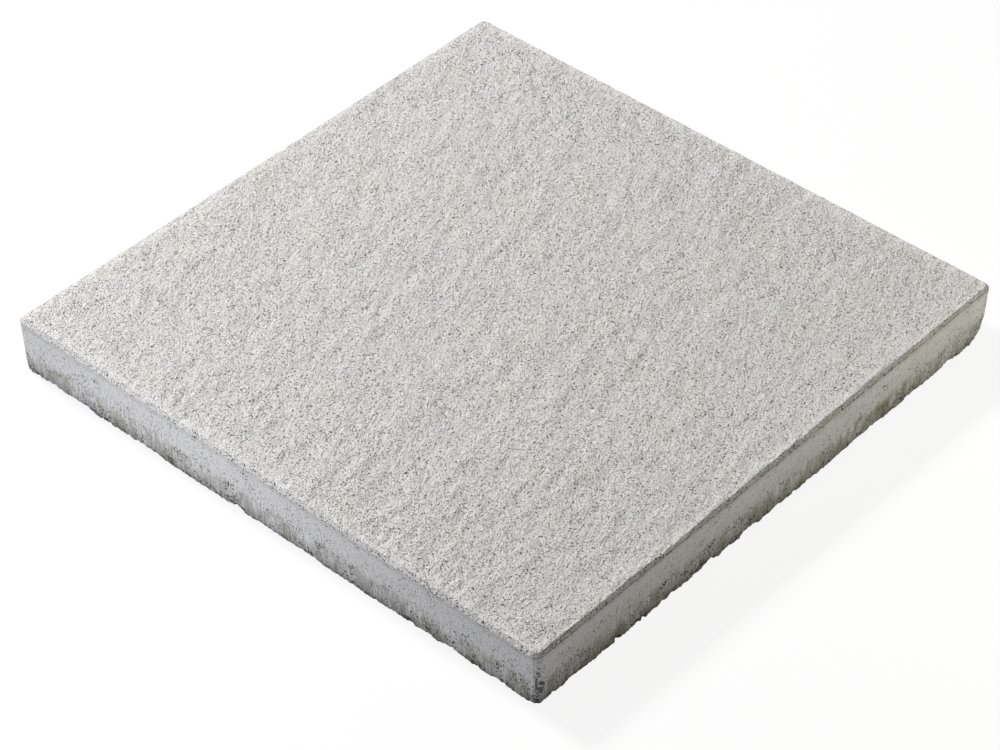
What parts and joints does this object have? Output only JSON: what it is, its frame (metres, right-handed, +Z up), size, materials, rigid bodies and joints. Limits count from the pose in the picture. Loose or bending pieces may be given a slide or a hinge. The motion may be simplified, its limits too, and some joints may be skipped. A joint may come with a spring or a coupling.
{
  "type": "concrete paving slab",
  "caption": "Square pressed concrete paving slab with a fine riven wearing face, chamfered arrises and a flat bedding face, for terraces and footpaths.",
  "frame": {"origin": "middle of the bedding face, on the ground", "axes": "+Z up out of the riven wearing face; X and Y square to the sides, with the corner at -X -Y towards the viewer"},
  "size_m": [0.4, 0.4, 0.04],
  "materials": {
    "pressed_concrete": "light grey pressed concrete: fine sand texture on the riven face, smoother drawn sides with pores and darker drag marks in the lower half"
  },
  "bodies": {
    "root": {"slab": "pressed_concrete"}
  },
  "joints": []
}
